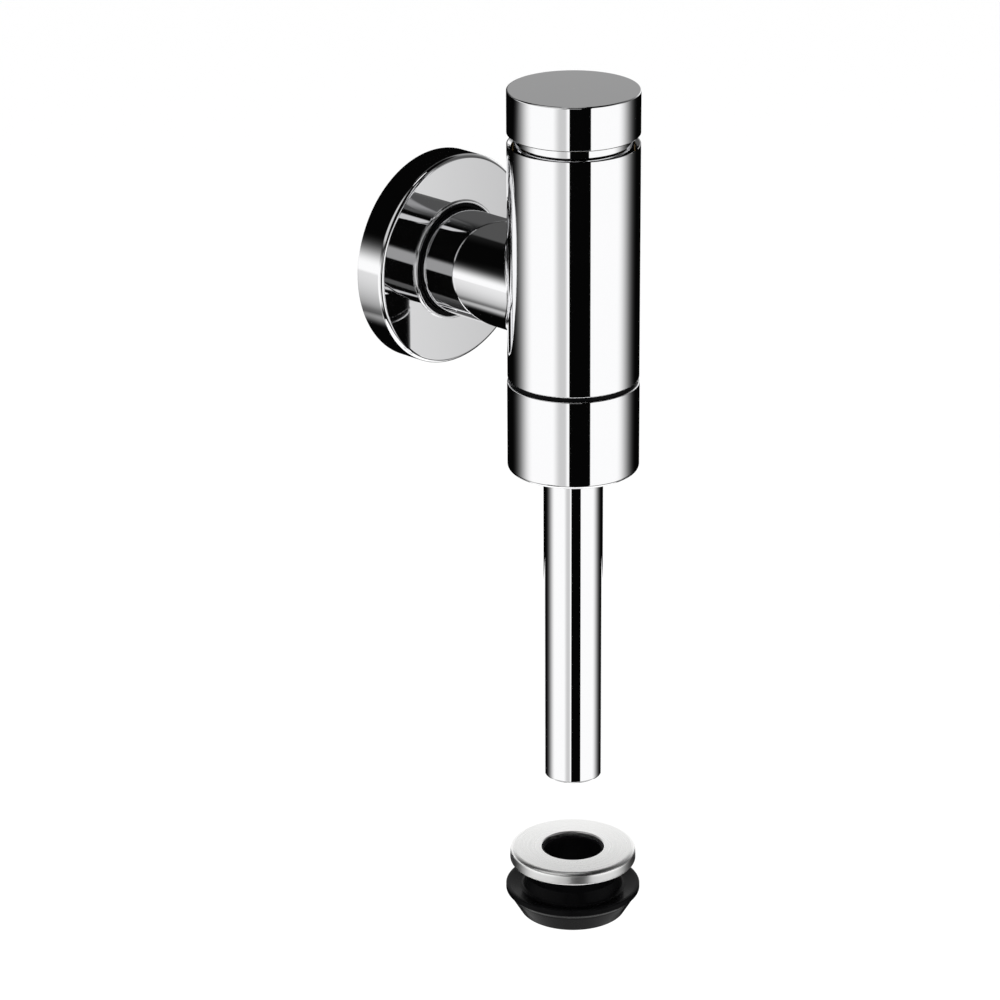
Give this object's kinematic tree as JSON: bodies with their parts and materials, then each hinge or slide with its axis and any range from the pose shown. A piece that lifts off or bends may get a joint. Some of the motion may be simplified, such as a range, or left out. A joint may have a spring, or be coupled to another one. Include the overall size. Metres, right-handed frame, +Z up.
{
  "type": "urinal flush valve",
  "caption": "Wall-fed push-button urinal flush valve with rosette, straight flush pipe and rubber urinal connector.",
  "frame": {"origin": "on the axis of the inlet thread, in the plane of the wall", "axes": "+Y along the inlet thread into the wall, +Z up, parallel to the body axis, +X to the right seen from the room"},
  "size_m": [0.065, 0.0909, 0.2666],
  "materials": {
    "polished_chrome": "polished plating on brass",
    "satin_chrome": "satin plating",
    "raw_brass": "machined",
    "stainless_steel": "drawn",
    "black_rubber": "moulded, slightly glossy",
    "white_acetal": "moulded",
    "fibre_gasket": "pressed red fibre"
  },
  "bodies": {
    "valve": {"valve_body": "polished_chrome", "valve_head": "raw_brass", "head_o_rings": "black_rubber", "spindle_gland": "raw_brass", "spindle_o_ring": "black_rubber", "button_spring": "stainless_steel", "piston_spring": "stainless_steel", "seat_ring": "raw_brass", "sleeve_ring": "black_rubber", "outlet_sleeve": "polished_chrome", "breaker_cage": "white_acetal", "pipe_gasket": "fibre_gasket", "pipe_slip_ring": "white_acetal", "flush_pipe": "polished_chrome", "inlet_nipple": "polished_chrome", "union_washer": "fibre_gasket", "inlet_strainer": "stainless_steel"},
    "button": {"push_button": "polished_chrome", "button_spindle": "stainless_steel", "pilot_washer": "black_rubber", "pilot_nut": "raw_brass"},
    "main_piston": {"piston": "raw_brass", "bleed_jet": "raw_brass", "piston_cup": "black_rubber", "cup_retainer": "raw_brass", "seat_washer": "black_rubber", "washer_screw": "raw_brass"},
    "disc": {"backflow_disc": "white_acetal"},
    "rosette": {"wall_rosette": "polished_chrome", "rosette_ring": "black_rubber"},
    "connector": {"connector_plate": "satin_chrome", "rubber_connector": "black_rubber"}
  },
  "joints": [
    {"name": "button_press", "type": "slide", "parent": "valve", "child": "button", "axis": [0, 0, -1], "range_m": [0, 0.003], "stiffness_N_per_m": 1200, "springref_m": -0.006, "deforming": ["button_spring"]},
    {"name": "piston_lift", "type": "slide", "parent": "valve", "child": "main_piston", "axis": [0, 0, 1], "range_m": [0, 0.005], "stiffness_N_per_m": 900, "springref_m": -0.004, "deforming": ["piston_spring"]},
    {"name": "backflow_lift", "type": "slide", "parent": "valve", "child": "disc", "axis": [0, 0, 1], "range_m": [0, 0.002]},
    {"name": "rosette_slide", "type": "slide", "parent": "valve", "child": "rosette", "axis": [0, -1, 0], "range_m": [0, 0.007]},
    {"name": "connector_slide", "type": "slide", "parent": "valve", "child": "connector", "axis": [0, 0, 1], "range_m": [0, 0.06]}
  ]
}
